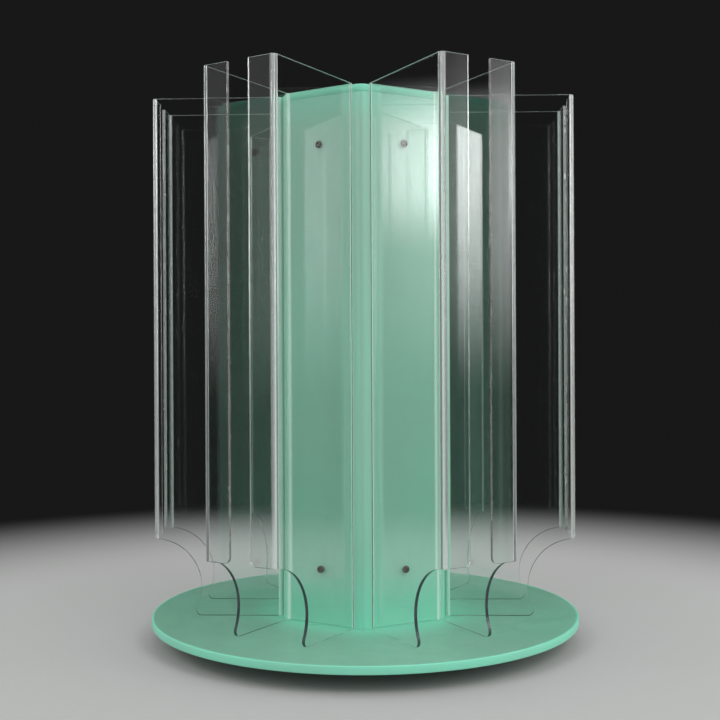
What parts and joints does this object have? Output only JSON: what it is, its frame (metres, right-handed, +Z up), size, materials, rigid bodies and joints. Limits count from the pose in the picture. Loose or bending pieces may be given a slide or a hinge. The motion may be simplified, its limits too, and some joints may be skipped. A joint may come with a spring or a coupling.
{
  "type": "rotating counter display rack",
  "caption": "Clear bent channels with lips and hand cut-outs screwed round a frosted hexagonal column on a frosted round base that turns on a ball-bearing turntable.",
  "frame": {"origin": "on the counter under the spin axis, at the bottom of the foot pads", "axes": "+Z up along the spin axis; -Y towards the viewer, with a corner of the column facing -Y; +X to the viewer's right"},
  "size_m": [0.3999, 0.4, 0.502],
  "materials": {
    "clear_acrylic": "clear, polished faces and flame-polished edges",
    "frosted_acrylic": "frosted translucent mint, satin",
    "screw_steel": "dull bronzed",
    "zinc_steel": "zinc plated",
    "bearing_chrome": "polished",
    "nylon": "moulded natural",
    "rubber": "matte"
  },
  "bodies": {
    "foot": {"foot_pad_right": "rubber", "foot_pad_back": "rubber", "foot_pad_left": "rubber", "foot_pad_front": "rubber", "foot_disc": "frosted_acrylic", "lower_bearing_plate": "zinc_steel", "lower_plate_screws": "zinc_steel", "bearing_balls": "bearing_chrome", "ball_retainer": "nylon", "hub_rivet": "zinc_steel"},
    "tower": {"upper_bearing_plate": "zinc_steel", "upper_plate_screws": "zinc_steel", "base_disc": "frosted_acrylic", "column_screws": "screw_steel", "column_floor": "frosted_acrylic", "column_shell": "frosted_acrylic", "column_cap": "frosted_acrylic", "channel_screws": "screw_steel", "channel_nuts": "zinc_steel", "channel_1": "clear_acrylic", "channel_2": "clear_acrylic", "channel_3": "clear_acrylic", "channel_4": "clear_acrylic", "channel_5": "clear_acrylic", "channel_6": "clear_acrylic"}
  },
  "joints": [
    {"name": "turntable_spin", "type": "hinge", "parent": "foot", "child": "tower", "pos_m": [0, 0, 0.012], "axis": [0, 0, 1], "continuous": true}
  ]
}
